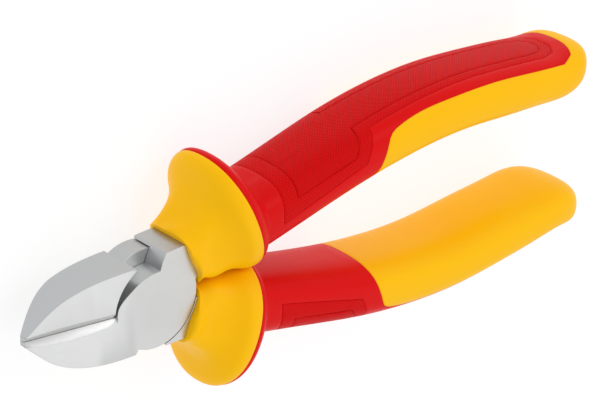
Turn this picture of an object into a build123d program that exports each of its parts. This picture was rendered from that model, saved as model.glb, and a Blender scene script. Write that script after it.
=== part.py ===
from build123d import *
import math
import os

os.makedirs("parts", exist_ok=True)

# Driving dimensions, mm.  X runs from the jaw tip to the handle ends, Z is the hinge axis.
LENGTH = 160.0
TIP_X = -31.0                              # jaw tip, measured from the hinge axis
HINGE_X = -(TIP_X + LENGTH / 2)            # hinge axis in the shared frame
THICK = 10.4                               # steel thickness over the joint
DISC_R = 10.5                              # joint disc
JAW_R = 11.0                               # inner end of the jaw that swings past the disc
SHANK_R = 10.7                             # inner end of the shank that swings past the disc
LAP_GAP = 0.06                             # play between the two joint discs
EDGE_GAP = 0.03                            # each cutting edge stops this far from the middle
RIVET_R = 3.95
BORE_R = 4.0
HEAD_R = 5.4
HEAD_DEPTH = 1.3
RIVET_TOP = 3.4
GUARD_R = 11.1                             # the collars stay outside the joint discs
CENTRE_GAP = 0.4                           # half the gap between the two hand guards
GUARD_TILT = 20.0                          # the hand guard leans with the handle
SECTION_POWER = 2.8                        # how square a handle section is
COVER_WALL = 2.2                           # second shot over the core behind the guard
PAD_DEPTH = 0.9
TANG_HALF = 4.0
TANG_STEP_X = 13.0

# All outlines are measured from the hinge axis, for the handle on the +Y side.
JAW_OUTLINE = [(-31.0, 1.1), (-29.0, 3.05), (-25.0, 6.5), (-20.0, 8.75), (-14.0, 9.9), (-5.9, 10.16)]
JAW_NOTCH = (-5.1, 9.1)
JAW_FRONT = [(-7.0, 5.2), (-20.0, 3.5), (-31.0, 0.8)]
JAW_BACK = [(-15.0, -5.25), (-25.0, -4.2), (-31.0, -1.2)]
EDGE_LINE = [(-31.0, 0.0), (-10.4, 4.15)]  # x and z of the cutting edge
EDGE_LAND = 1.0                            # height of the meeting faces under the edge
RELIEF = [(-10.6, 0.4), (-9.8, 2.7), (-7.6, 4.7), (-5.5, 6.0), (-3.1, 6.9), (0.7, 7.3)]
SHOULDER = [(1.2, 8.8), (2.3, 11.0)]
TANG_OUTER = [(2.3, 11.0), (8.0, 11.15), (14.0, 12.0), (30.0, 14.0), (50.0, 18.4), (75.0, 21.6), (92.0, 21.0)]
TANG_INNER = [(92.0, 17.5), (75.0, 17.0), (50.0, 12.6), (30.0, 8.4), (14.0, 4.2), (10.0, 2.0), (5.0, 0.6)]
# Handle sections: x, centre y, half width, half thickness.
HANDLE = [
    (22.0, 9.0, 7.3, 9.5), (30.0, 10.9, 7.3, 9.7), (44.0, 14.2, 7.2, 10.0), (58.0, 17.2, 7.1, 10.4),
    (72.0, 19.1, 6.9, 10.7), (86.0, 19.6, 6.7, 10.9), (100.0, 18.6, 6.6, 10.9), (112.0, 17.5, 6.3, 10.7),
    (120.0, 17.1, 5.9, 10.3),
]
CAP_LENGTH = 9.0                           # rounded handle end
CAP_RISE = 1.6
CAP_TURNS = (28, 50, 68, 80, 88)           # where the cap is cut into sections, degrees round it
# Hand guard sections along its own axis: distance, sideways shift, half width, half thickness, power.
GUARD = [
    (0.0, -0.5, 6.4, 6.6, 5.0), (3.0, -0.6, 7.4, 7.1, 4.0), (6.0, -0.4, 8.7, 8.1, 3.2),
    (8.6, 0.2, 10.3, 9.8, 2.7), (10.4, 1.1, 12.6, 11.8, 2.4), (11.8, 1.7, 14.2, 12.9, 2.2),
    (13.0, 1.85, 14.7, 13.0, 2.2), (13.8, 1.85, 14.6, 12.9, 2.2),
]
RIM = [
    (13.8, 1.85, 14.6, 12.9, 2.2), (15.4, 1.85, 14.1, 12.5, 2.2), (16.6, 1.4, 12.4, 11.4, 2.2),
    (17.8, 0.0, 9.4, 10.0, 2.4), (19.6, -2.8, 7.0, 8.8, 2.5),
]
GUARD_START = (8.9, 6.9)
# Where the second shot ends, then the borders of the soft band and of the textured pad.
COVER_EDGE = [(63.2, 22.0), (67.7, 23.1), (80.0, 24.05), (92.0, 23.8), (105.0, 22.5), (117.0, 21.1)]
COVER_FRONT = [(8.0, -3.0), (55.0, 3.0), (57.2, 9.6), (60.6, 19.3), (61.2, 20.6), (62.0, 21.4)]
COVER_END = [(120.6, 21.9), (122.6, 23.2), (124.4, 25.6), (124.4, 36.0), (8.0, 36.0)]
BAND_SIDE = [
    (31.0, 36.0), (31.0, 9.6), (54.3, 16.6), (57.4, 23.0), (110.0, 20.6), (122.0, 18.0), (122.0, 36.0),
]
BAND_TOP = [(30.0, 20.0), (55.0, 20.0), (57.4, 7.2), (90.0, 6.7), (112.5, 6.6), (117.0, 5.2), (118.8, 2.4)]
PAD_SIDE = [
    (35.0, 36.0), (35.0, 14.6), (51.6, 18.6), (54.0, 22.6), (70.0, 22.6), (100.0, 21.0), (120.0, 19.0),
    (120.0, 36.0),
]
PAD_TOP = [(34.0, 20.0), (51.8, 20.0), (54.2, 4.9), (90.0, 4.4), (110.5, 4.4), (114.5, 3.4), (116.0, 1.4)]

HEAD = Plane(origin=(HINGE_X, 0, 0))


def at(points, side=1):
    return [(HINGE_X + x, side * y) for x, y in points]


def superellipse(half_w, half_h, power, count=24):
    points = []
    for i in range(count):
        a = 2 * math.pi * (i + 0.5) / count
        c, s = math.cos(a), math.sin(a)
        points.append((math.copysign(abs(c) ** (2 / power), c) * half_w,
                       math.copysign(abs(s) ** (2 / power), s) * half_h))
    return points


def loft_through(sections):
    with BuildPart() as loft_part:
        for plane, half_w, half_h, power in sections:
            with BuildSketch(plane):
                with BuildLine():
                    Spline(*superellipse(half_w, half_h, power), periodic=True)
                make_face()
        loft()
    return loft_part.part


def rounded_end():
    """Sections of the rounded handle end, shrinking like a quarter ellipse."""
    x, y, half_w, half_h = HANDLE[-1]
    sections = []
    for turn in CAP_TURNS:
        c, s = math.cos(math.radians(turn)), math.sin(math.radians(turn))
        sections.append((x + CAP_LENGTH * s, y + CAP_RISE * s, half_w * c, half_h * c))
    return sections


def handle_body(inset=0.0, stations=HANDLE + rounded_end()):
    sections = []
    for x, y, half_w, half_h in stations:
        plane = Plane(origin=(HINGE_X + x, y, 0), x_dir=(0, 1, 0), z_dir=(1, 0, 0))
        sections.append((plane, max(half_w - inset, 0.5), max(half_h - inset, 0.5), SECTION_POWER))
    return loft_through(sections)


def guard_body(stations):
    tilt = math.radians(GUARD_TILT)
    axis = Vector(math.cos(tilt), math.sin(tilt), 0)
    side = Vector(-math.sin(tilt), math.cos(tilt), 0)
    start = Vector(HINGE_X + GUARD_START[0], GUARD_START[1], 0)
    sections = []
    for along, shift, half_w, half_h, power in stations:
        plane = Plane(origin=start + axis * along + side * shift, x_dir=side, z_dir=axis)
        sections.append((plane, half_w, half_h, power))
    return loft_through(sections)


def slab(points, depth=30.0):
    """An outline in XY, through the whole thickness."""
    with BuildPart() as body:
        with BuildSketch(Plane.XY):
            with BuildLine():
                Polyline(*at(points), close=True)
            make_face()
        extrude(amount=depth, both=True)
    return body.part


def strip(points, depth=40.0):
    """A border in XZ mirrored about Z = 0, through the whole width."""
    mirrored = points + [(x, -z) for x, z in reversed(points) if z > 0]
    with BuildPart() as body:
        with BuildSketch(Plane.XZ):
            with BuildLine():
                Polyline(*at(mirrored), close=True)
            make_face()
        extrude(amount=depth, both=True)
    return body.part


def cover_zone():
    with BuildPart() as body:
        with BuildSketch(Plane.XY):
            with BuildLine():
                Polyline(*at(COVER_FRONT + COVER_EDGE[:1]))
                Spline(*at(COVER_EDGE))
                Polyline(*at(COVER_EDGE[-1:] + COVER_END + COVER_FRONT[:1]))
            make_face()
        extrude(amount=30, both=True)
    return body.part


def jaw_slopes():
    """The front and back of both jaws fall away towards the tip."""
    slopes = []
    for arc, level in ((JAW_FRONT, 8.0), (JAW_BACK, -8.0)):
        with BuildPart() as slope:
            with BuildSketch(Plane.XZ):
                with BuildLine():
                    ThreePointArc(*at(arc))
                    last = (arc[-1][0] - 2.0, arc[-1][1] - math.copysign(0.7, level))
                    Polyline(*at([arc[-1], last, (last[0], level), (arc[0][0], level), arc[0]]))
                make_face()
            extrude(amount=20, both=True)
        slopes.append(slope.part)
    return slopes


def edge_grooves():
    """The two V reliefs that leave the cutting edge standing."""
    grooves = []
    (x0, z0), (x1, z1) = EDGE_LINE
    along = Vector(x1 - x0, 0, z1 - z0).normalized()
    for drop, half, rise in ((0.0, 4.0, 2.9), (-EDGE_LAND, 2.8, -9.0)):
        origin = Vector(HINGE_X + x0, 0, z0 + drop) - along * 3
        with BuildPart() as groove:
            with BuildSketch(Plane(origin=origin, x_dir=(0, 1, 0), z_dir=along)):
                with BuildLine():
                    Polyline((0, 0), (half, rise), (-half, rise), close=True)
                make_face()
            extrude(amount=math.hypot(x1 - x0, z1 - z0) + 3)
        grooves.append(groove.part)
    return grooves


def plier_half(side):
    """side 1: lower jaw, front disc and upper tang.  side -1: the same turned over about X."""
    own, other = (LAP_GAP / 2, -THICK / 2) if side > 0 else (-THICK / 2, -LAP_GAP / 2)
    layer = THICK / 2 - LAP_GAP / 2
    jaw = JAW_OUTLINE
    with BuildPart() as half:
        with BuildSketch(HEAD.offset(-THICK / 2)):
            with BuildLine():
                Spline(*[(x, -side * y) for x, y in jaw])
                inner = [jaw[-1], JAW_NOTCH, (-2.0, EDGE_GAP), (jaw[0][0], EDGE_GAP), jaw[0]]
                Polyline(*[(x, -side * y) for x, y in inner])
            make_face()
        extrude(amount=THICK)
        for groove in edge_grooves():
            add(groove, mode=Mode.SUBTRACT)
        with BuildSketch(HEAD.offset(other)):
            Circle(JAW_R)
        extrude(amount=layer + LAP_GAP, mode=Mode.SUBTRACT)
        add(tang_body(side, other, layer))
        with BuildSketch(HEAD.offset(own)):
            Circle(DISC_R)
        extrude(amount=layer)
        with BuildSketch(HEAD.offset(own)):
            with BuildLine():
                Spline(*[(x, side * y) for x, y in RELIEF])
                Polyline(*[(x, side * y) for x, y in RELIEF[-1:] + SHOULDER + [(2.3, 16.0), (-12.5, 16.0),
                                                                               (-12.5, 0.4), RELIEF[0]]])
            make_face()
        extrude(amount=layer, mode=Mode.SUBTRACT)
        for slope in jaw_slopes():
            add(slope, mode=Mode.SUBTRACT)
    return half.part


def tang_body(side, other, layer):
    shank = TANG_OUTER + TANG_INNER
    with BuildPart() as tang:
        with BuildSketch(HEAD.offset(-THICK / 2)):
            with BuildLine():
                Polyline(*[(x, side * y) for x, y in shank + [(0.7, 7.3)] + SHOULDER[:1]], close=True)
            make_face()
        extrude(amount=THICK)
        for low in (-THICK / 2, TANG_HALF):
            with BuildSketch(HEAD.offset(low)):
                with Locations((TANG_STEP_X + 50, side * 15)):
                    Rectangle(100, 40)
            extrude(amount=THICK / 2 - TANG_HALF, mode=Mode.SUBTRACT)
        with BuildSketch(HEAD.offset(other)):
            Circle(SHANK_R)
        extrude(amount=layer + LAP_GAP, mode=Mode.SUBTRACT)
    return tang.part


def post(low, high, radius):
    with BuildPart() as body:
        with BuildSketch(HEAD.offset(low)):
            Circle(radius)
        extrude(amount=high - low)
    return body.part


def soft_shell(envelope, under, side_border, top_border):
    with BuildPart() as shell:
        add(envelope)
        add(under, mode=Mode.SUBTRACT)
        add(slab(side_border), mode=Mode.INTERSECT)
        add(strip(top_border), mode=Mode.INTERSECT)
    return shell.part


BACK = -THICK / 2
steel_front = plier_half(1)
steel_back = plier_half(-1)

with BuildPart() as front_jaw_half:
    add(steel_front)
    add(post(0, RIVET_TOP, RIVET_R), mode=Mode.SUBTRACT)

with BuildPart() as back_jaw_half:
    add(steel_back)
    add(post(BACK, 0, BORE_R), mode=Mode.SUBTRACT)
    add(post(BACK, BACK + HEAD_DEPTH + 0.05, HEAD_R + 0.08), mode=Mode.SUBTRACT)

with BuildPart() as pivot_rivet:
    add(post(BACK, RIVET_TOP, RIVET_R))
    add(post(BACK, BACK + HEAD_DEPTH, HEAD_R))

# The upper grip; the lower one is the same moulding turned over about X.
envelope = handle_body()
zone = cover_zone()
under_pads = handle_body(PAD_DEPTH)
spine = handle_body(COVER_WALL, HANDLE[:5])
guard = guard_body(GUARD)
centre_space = slab([(0, CENTRE_GAP), (140, CENTRE_GAP), (140, -40), (0, -40)])
joint_space = post(-20, 20, GUARD_R)

with BuildPart() as upper_grip_pad:
    add(soft_shell(envelope, under_pads, PAD_SIDE, PAD_TOP))

with BuildPart() as upper_grip_band:
    add(soft_shell(envelope, under_pads, BAND_SIDE, BAND_TOP))
    add(zone, mode=Mode.INTERSECT)
    add(upper_grip_pad.part, mode=Mode.SUBTRACT)

with BuildPart() as upper_grip_core:
    add(envelope)
    add(zone, mode=Mode.SUBTRACT)
    add(spine)
    add(guard)
    for tool in (centre_space, joint_space, steel_front):
        add(tool, mode=Mode.SUBTRACT)

with BuildPart() as cover_blank:
    add(envelope)
    add(zone, mode=Mode.INTERSECT)
    add(guard_body(RIM))
    for tool in (guard, spine, steel_front, centre_space, upper_grip_pad.part, upper_grip_band.part):
        add(tool, mode=Mode.SUBTRACT)

with BuildPart() as upper_grip_cover:
    add(cover_blank.part.solids().sort_by(SortBy.VOLUME)[-1])

nodes = {
    "front_jaw_half": front_jaw_half.part,
    "back_jaw_half": back_jaw_half.part,
    "pivot_rivet": pivot_rivet.part,
    "upper_grip_core": upper_grip_core.part,
    "upper_grip_cover": upper_grip_cover.part,
    "upper_grip_band": upper_grip_band.part,
    "upper_grip_pad": upper_grip_pad.part,
}
for name in ("grip_core", "grip_cover", "grip_band", "grip_pad"):
    nodes["lower_" + name] = nodes["upper_" + name].rotate(Axis.X, 180)
for name, part in nodes.items():
    part.label = name
    export_step(part, "parts/" + name + ".step")
    print(name, part.is_valid, len(part.solids()), round(part.volume, 2))
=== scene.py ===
"""Diagonal cutting pliers with insulated two-colour grips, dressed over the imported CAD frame."""

import logging
import math
from dataclasses import dataclass, field
from enum import Enum

import bpy
from mathutils import Matrix, Vector


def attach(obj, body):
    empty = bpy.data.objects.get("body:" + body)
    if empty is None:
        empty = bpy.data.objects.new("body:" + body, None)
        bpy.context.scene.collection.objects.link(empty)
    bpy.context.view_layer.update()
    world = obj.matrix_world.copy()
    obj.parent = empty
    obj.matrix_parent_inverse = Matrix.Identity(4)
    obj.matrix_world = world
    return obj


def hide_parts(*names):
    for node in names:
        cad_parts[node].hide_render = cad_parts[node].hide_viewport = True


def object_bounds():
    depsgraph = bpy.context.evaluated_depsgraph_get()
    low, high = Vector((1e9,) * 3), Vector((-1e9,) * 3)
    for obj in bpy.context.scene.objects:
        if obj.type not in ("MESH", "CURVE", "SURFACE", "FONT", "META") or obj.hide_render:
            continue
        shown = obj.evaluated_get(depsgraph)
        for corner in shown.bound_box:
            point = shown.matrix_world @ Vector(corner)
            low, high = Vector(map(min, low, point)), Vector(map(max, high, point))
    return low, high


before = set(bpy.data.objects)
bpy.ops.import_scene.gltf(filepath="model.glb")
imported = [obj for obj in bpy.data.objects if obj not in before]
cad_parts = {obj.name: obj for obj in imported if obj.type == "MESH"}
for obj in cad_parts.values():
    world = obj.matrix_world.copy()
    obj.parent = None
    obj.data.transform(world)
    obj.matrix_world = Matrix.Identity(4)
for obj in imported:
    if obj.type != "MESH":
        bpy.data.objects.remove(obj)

logging.basicConfig(level=logging.INFO, format="%(message)s")
LOG = logging.getLogger("pliers")
MM = 0.001
WELD_M = 0.000004
CAD_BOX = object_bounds()


def linear(hex_colour: str) -> tuple[float, float, float, float]:
    """Turns an sRGB hex colour into linear RGBA.

    Args:
        hex_colour: Six hex digits, with or without a leading hash.

    Returns:
        Linear red, green, blue and an alpha of 1.
    """
    digits = hex_colour.lstrip("#")
    values = [int(digits[i:i + 2], 16) / 255 for i in (0, 2, 4)]
    lin = [v / 12.92 if v <= 0.04045 else ((v + 0.055) / 1.055) ** 2.4 for v in values]
    return (lin[0], lin[1], lin[2], 1.0)


def add_node(
    tree: bpy.types.NodeTree,
    kind: str,
    settings: dict[str, object] | None = None,
    values: dict[str, object] | None = None,
    links: dict[str, bpy.types.NodeSocket] | None = None,
) -> bpy.types.Node:
    """Adds one node with its settings, socket values and links.

    Args:
        tree: The node tree that gets the node.
        kind: Blender's identifier of the node.
        settings: Properties of the node itself.
        values: Default values by input socket name.
        links: Output sockets to link, by input socket name.

    Returns:
        The new node.
    """
    node = tree.nodes.new(kind)
    for key, value in (settings or {}).items():
        setattr(node, key, value)
    for key, value in (values or {}).items():
        node.inputs[int(key) if key.isdigit() else key].default_value = value
    for key, socket in (links or {}).items():
        tree.links.new(socket, node.inputs[int(key) if key.isdigit() else key])
    return node


class Side(Enum):
    """Which handle a grip belongs to, with the CAD body it rides on."""

    UPPER = "front_half"
    LOWER = "back_half"

    @property
    def prefix(self) -> str:
        """Start of the CAD node names on this side."""
        return "upper" if self is Side.UPPER else "lower"


@dataclass(frozen=True)
class SatinSteel:
    """Chrome vanadium steel, drop forged, with a fine grinding on its faces.

    The grinding leaves faint fine lines that spread the highlights across them; the flanks, turned away from
    facing up or down, get painted shade: a greyer colour than the faces.
    """

    name: str = "satin_ground_chrome_vanadium_steel"
    colour: str = "#D6D6D4"
    shade: str = "#CBCCCA"
    painted_flank_shade: str = "#BABCBD"
    grain_mm: float = 0.72
    stretch: float = 0.12
    cloud_per_m: float = 90.0
    flank_shade_from: float = 0.35
    flank_shade_to: float = 0.6
    scratch_mm: float = 0.01
    roughness: float = 0.36

    def build(self) -> bpy.types.Material:
        """Builds the material.

        Returns:
            The finished material.
        """
        mat = bpy.data.materials.new(self.name)
        mat.use_nodes = True
        tree = mat.node_tree
        shader = tree.nodes["Principled BSDF"]
        coords = add_node(tree, "ShaderNodeTexCoord")
        # Real grinding lines are about 0.1 mm apart, too fine to show, so they are drawn coarser.
        lines = add_node(tree, "ShaderNodeMapping", values={"Scale": (self.stretch, 1.0, 1.0)},
                         links={"Vector": coords.outputs["Object"]})
        grind = add_node(tree, "ShaderNodeTexNoise",
                         values={"Scale": 1 / (self.grain_mm * MM), "Detail": 4.0, "Roughness": 0.6},
                         links={"Vector": lines.outputs["Vector"]})
        cloud = add_node(tree, "ShaderNodeTexNoise", values={"Scale": self.cloud_per_m, "Detail": 3.0},
                         links={"Vector": coords.outputs["Object"]})
        tone = add_node(tree, "ShaderNodeMix", settings={"data_type": "RGBA"},
                        values={"6": linear(self.shade), "7": linear(self.colour)},
                        links={"0": cloud.outputs["Fac"]})
        # Painted shade: where the surface turns away from facing Z, the colour goes over to the greyer colour
        # of the flanks.
        normal = add_node(tree, "ShaderNodeSeparateXYZ", links={"Vector": coords.outputs["Normal"]})
        faces = add_node(tree, "ShaderNodeMath", {"operation": "ABSOLUTE"},
                         links={"0": normal.outputs["Z"]})
        flank_shade_mask = add_node(tree, "ShaderNodeMapRange",
                          values={"From Min": self.flank_shade_from, "From Max": self.flank_shade_to},
                          links={"Value": faces.outputs[0]})
        skin = add_node(tree, "ShaderNodeMix", settings={"data_type": "RGBA"},
                        values={"6": linear(self.painted_flank_shade)},
                        links={"0": flank_shade_mask.outputs["Result"], "7": tone.outputs[2]})
        tree.links.new(skin.outputs[2], shader.inputs["Base Color"])
        rough = add_node(tree, "ShaderNodeMapRange",
                         values={"To Min": self.roughness - 0.06, "To Max": self.roughness + 0.08},
                         links={"Value": grind.outputs["Fac"]})
        tree.links.new(rough.outputs["Result"], shader.inputs["Roughness"])
        bump = add_node(tree, "ShaderNodeBump", values={"Strength": 0.25, "Distance": self.scratch_mm * MM},
                        links={"Height": grind.outputs["Fac"]})
        tree.links.new(bump.outputs["Normal"], shader.inputs["Normal"])
        shader.inputs["Metallic"].default_value = 0.9
        return mat


@dataclass(frozen=True)
class MouldedPlastic:
    """Hard insulating plastic, injection moulded in a fine-eroded tool.

    The eroded tool leaves a soft semi-gloss with a barely visible orange peel.
    """

    name: str
    colour: str
    shade: str
    roughness: float = 0.38
    sheen: float = 0.1
    peel_mm: float = 0.6
    peel_depth_mm: float = 0.02
    cloud_per_m: float = 55.0

    def build(self) -> bpy.types.Material:
        """Builds the material.

        Returns:
            The finished material.
        """
        mat = bpy.data.materials.new(self.name)
        mat.use_nodes = True
        tree = mat.node_tree
        shader = tree.nodes["Principled BSDF"]
        coords = add_node(tree, "ShaderNodeTexCoord")
        peel = add_node(tree, "ShaderNodeTexNoise", values={"Scale": 1 / (self.peel_mm * MM), "Detail": 2.0},
                        links={"Vector": coords.outputs["Object"]})
        cloud = add_node(tree, "ShaderNodeTexNoise", values={"Scale": self.cloud_per_m, "Detail": 2.0},
                         links={"Vector": coords.outputs["Object"]})
        tone = add_node(tree, "ShaderNodeMix", settings={"data_type": "RGBA"},
                        values={"6": linear(self.shade), "7": linear(self.colour)},
                        links={"0": cloud.outputs["Fac"]})
        tree.links.new(tone.outputs[2], shader.inputs["Base Color"])
        rough = add_node(tree, "ShaderNodeMapRange",
                         values={"To Min": self.roughness - 0.05, "To Max": self.roughness + 0.07},
                         links={"Value": peel.outputs["Fac"]})
        tree.links.new(rough.outputs["Result"], shader.inputs["Roughness"])
        bump = add_node(tree, "ShaderNodeBump", values={"Strength": 0.12, "Distance": self.peel_depth_mm * MM},
                        links={"Height": peel.outputs["Fac"]})
        tree.links.new(bump.outputs["Normal"], shader.inputs["Normal"])
        shader.inputs["IOR"].default_value = 1.5
        shader.inputs["Specular IOR Level"].default_value = self.sheen
        return mat


@dataclass(frozen=True)
class TexturedElastomer:
    """Soft thermoplastic elastomer, moulded over the hard shell with a fine grip relief.

    The relief breaks the highlight into small bright points.
    """

    name: str
    colour: str
    shade: str
    pitch_mm: float
    depth_mm: float
    roughness: float = 0.5
    sheen: float = 0.07
    turn_from: float = 0.62
    turn_to: float = 0.78

    def build(self) -> bpy.types.Material:
        """Builds the material.

        Returns:
            The finished material.
        """
        mat = bpy.data.materials.new(self.name)
        mat.use_nodes = True
        tree = mat.node_tree
        shader = tree.nodes["Principled BSDF"]
        coords = add_node(tree, "ShaderNodeTexCoord")
        parts = add_node(tree, "ShaderNodeSeparateXYZ", links={"Vector": coords.outputs["Object"]})
        normal = add_node(tree, "ShaderNodeSeparateXYZ", links={"Vector": coords.outputs["Normal"]})
        wave = 2 * math.pi / (self.pitch_mm * MM)
        rows = {}
        for axis in ("X", "Y", "Z"):
            turn = add_node(tree, "ShaderNodeMath", {"operation": "MULTIPLY"}, {"1": wave},
                            {"0": parts.outputs[axis]})
            rows[axis] = add_node(tree, "ShaderNodeMath", {"operation": "SINE"}, links={"0": turn.outputs[0]})
        faces_z = add_node(tree, "ShaderNodeMath", {"operation": "ABSOLUTE"},
                           links={"0": normal.outputs["Z"]})
        # The rows run across Z on the outer side and across Y where the surface turns to face Z.
        pick = add_node(tree, "ShaderNodeMapRange",
                        values={"From Min": self.turn_from, "From Max": self.turn_to},
                        links={"Value": faces_z.outputs[0]})
        around = add_node(tree, "ShaderNodeMix", {"data_type": "FLOAT"},
                          links={"0": pick.outputs["Result"], "2": rows["Z"].outputs[0],
                                 "3": rows["Y"].outputs[0]})
        grid = add_node(tree, "ShaderNodeMath", {"operation": "MULTIPLY"},
                        links={"0": rows["X"].outputs[0], "1": around.outputs[0]})
        height = add_node(tree, "ShaderNodeMapRange", values={"From Min": -1.0},
                          links={"Value": grid.outputs[0]})
        # Painted shade: the low rows of the relief take the darker shade colour, the high rows the main
        # colour.
        tone = add_node(tree, "ShaderNodeMix", settings={"data_type": "RGBA"},
                        values={"6": linear(self.shade), "7": linear(self.colour)},
                        links={"0": height.outputs["Result"]})
        tree.links.new(tone.outputs[2], shader.inputs["Base Color"])
        bump = add_node(tree, "ShaderNodeBump", values={"Strength": 0.9, "Distance": self.depth_mm * MM},
                        links={"Height": height.outputs["Result"]})
        tree.links.new(bump.outputs["Normal"], shader.inputs["Normal"])
        shader.inputs["Roughness"].default_value = self.roughness
        shader.inputs["IOR"].default_value = 1.48
        shader.inputs["Specular IOR Level"].default_value = self.sheen
        return mat


def deselect() -> None:
    """Leaves nothing selected in object mode."""
    bpy.ops.object.select_all(action="DESELECT")


def refined(node: str, edge_mm: float, smooth_deg: float = 32.0) -> bpy.types.Object:
    """Copies a CAD node as one welded mesh with softened edges.

    Args:
        node: The CAD node.
        edge_mm: Width of the softened edges.
        smooth_deg: Faces that meet at less than this are shaded as one surface.

    Returns:
        The new object, in the CAD node's place.
    """
    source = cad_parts[node]
    piece = source.copy()
    piece.data = source.data.copy()
    piece.name = node + "_dressed"
    piece.parent = None
    bpy.context.collection.objects.link(piece)
    deselect()
    piece.select_set(True)
    bpy.context.view_layer.objects.active = piece
    bpy.ops.object.mode_set(mode="EDIT")
    bpy.ops.mesh.select_all(action="SELECT")
    bpy.ops.mesh.remove_doubles(threshold=WELD_M)
    bpy.ops.mesh.customdata_custom_splitnormals_clear()
    bpy.ops.object.mode_set(mode="OBJECT")
    bevel = piece.modifiers.new("edge", "BEVEL")
    bevel.width = edge_mm * MM
    bevel.segments = 2
    bevel.use_clamp_overlap = False
    bevel.limit_method = "ANGLE"
    bevel.angle_limit = math.radians(smooth_deg)
    bpy.ops.object.modifier_apply(modifier="edge")
    bpy.ops.object.shade_smooth_by_angle(angle=math.radians(smooth_deg))
    LOG.info("%s: %d faces", piece.name, len(piece.data.polygons))
    return piece


def finish(piece: bpy.types.Object, mat: bpy.types.Material, body: str, node: str) -> None:
    """Gives a piece its material and its place on the CAD bodies.

    Args:
        piece: The piece.
        mat: Its material.
        body: The CAD body it rides on.
        node: The CAD node it stands for.
    """
    piece.data.materials.clear()
    piece.data.materials.append(mat)
    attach(piece, body)
    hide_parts(node)
    LOG.info("%s rides on %s", piece.name, body)


@dataclass
class Head:
    """The two forged halves and the rivet between them."""

    edge_mm: float = 0.1
    smooth_deg: float = 18.0
    steel: SatinSteel = field(default_factory=SatinSteel)

    def build(self) -> list[bpy.types.Object]:
        """Builds and dresses the steel pieces.

        Returns:
            The pieces.
        """
        mat = self.steel.build()
        pieces = []
        for node, body in (("front_jaw_half", "front_half"), ("back_jaw_half", "back_half"),
                           ("pivot_rivet", "front_half")):
            piece = refined(node, self.edge_mm, self.smooth_deg)
            finish(piece, mat, body, node)
            pieces.append(piece)
        return pieces


@dataclass
class Grip:
    """One handle's grip: two hard shots and two soft inlays."""

    side: Side
    mats: dict[str, bpy.types.Material]
    edges_mm: dict[str, float] = field(
        default_factory=lambda: {"core": 0.15, "cover": 0.2, "band": 0.3, "pad": 0.35})

    def build(self) -> list[bpy.types.Object]:
        """Builds and dresses the grip's pieces.

        Returns:
            The pieces.
        """
        pieces = []
        for part, edge in self.edges_mm.items():
            node = f"{self.side.prefix}_grip_{part}"
            piece = refined(node, edge)
            finish(piece, self.mats[part], self.side.value, node)
            pieces.append(piece)
        return pieces


@dataclass
class Studio:
    """Pale floor, soft light and the camera."""

    camera_m: tuple[float, float, float] = (-0.39728, 0.30630, 0.42008)
    right: tuple[float, float, float] = (0.738005, 0.021623, 0.674449)
    up: tuple[float, float, float] = (0.297242, 0.886879, -0.353685)
    lens_mm: float = 180.0
    sensor_mm: float = 36.0
    floor_m: float = 3.0
    floor_drop_m: float = 0.0002
    floor_glow: float = 0.8
    sky_strength: float = 0.86

    def floor(self) -> None:
        """Lays a plain pale floor with a little light of its own, so that it stays near white."""
        deselect()
        low = CAD_BOX[0][2]
        bpy.ops.mesh.primitive_plane_add(size=self.floor_m, location=(0, 0, low - self.floor_drop_m))
        plane = bpy.context.object
        plane.name = "studio_floor"
        mat = bpy.data.materials.new("studio_floor_white")
        mat.use_nodes = True
        shader = mat.node_tree.nodes["Principled BSDF"]
        shader.inputs["Base Color"].default_value = linear("#868686")
        shader.inputs["Roughness"].default_value = 0.9
        shader.inputs["Specular IOR Level"].default_value = 0.0
        shader.inputs["Emission Color"].default_value = linear("#FFFFFF")
        shader.inputs["Emission Strength"].default_value = self.floor_glow
        plane.data.materials.append(mat)

    def lamp(self, name: str, spot: tuple[float, float, float], size: float, power: float) -> None:
        """Adds a square softbox that looks at the object.

        Args:
            name: Name of the lamp.
            spot: Its place in metres.
            size: Its side in metres.
            power: Its power in watts.
        """
        data = bpy.data.lights.new(name, "AREA")
        data.size = size
        data.energy = power
        lamp = bpy.data.objects.new(name, data)
        bpy.context.collection.objects.link(lamp)
        lamp.location = spot
        lamp.rotation_euler = (-Vector(spot)).to_track_quat("-Z", "Y").to_euler()

    def camera(self) -> None:
        """Places the camera."""
        right, up = Vector(self.right).normalized(), Vector(self.up).normalized()
        back = right.cross(up).normalized()
        up = back.cross(right)
        data = bpy.data.cameras.new("camera")
        data.lens = self.lens_mm
        data.sensor_width = self.sensor_mm
        data.clip_end = 10.0
        cam = bpy.data.objects.new("camera", data)
        bpy.context.collection.objects.link(cam)
        cam.matrix_world = Matrix.Translation(self.camera_m) @ Matrix((right, up, back)).transposed().to_4x4()
        bpy.context.scene.camera = cam

    def build(self) -> None:
        """Sets up the whole studio."""
        self.floor()
        self.camera()
        self.lamp("overhead", (0.16, -0.3, 0.9), 0.9, 1.3)
        self.lamp("side", (0.29, 0.52, 0.68), 0.4, 1.1)
        world = bpy.data.worlds.new("studio")
        world.use_nodes = True
        sky = world.node_tree.nodes["Background"]
        sky.inputs["Color"].default_value = linear("#F4F5F7")
        sky.inputs["Strength"].default_value = self.sky_strength
        bpy.context.scene.world = world
        bpy.context.scene.view_settings.view_transform = "Standard"


def main() -> None:
    """Builds the pliers and the studio, in order."""
    mats = {
        "core": MouldedPlastic("moulded_yellow_polypropylene", "#FFC404", "#FFBC02").build(),
        "cover": MouldedPlastic("moulded_red_polypropylene", "#E00406", "#D80405").build(),
        "band": TexturedElastomer("stippled_red_elastomer", "#DE0406", "#C40405", 0.95, 0.07).build(),
        "pad": TexturedElastomer("mesh_red_elastomer", "#DE0406", "#BC0405", 0.75, 0.07).build(),
    }
    Head().build()
    for side in Side:
        Grip(side, mats).build()
    Studio().build()


if __name__ == "__main__":
    main()
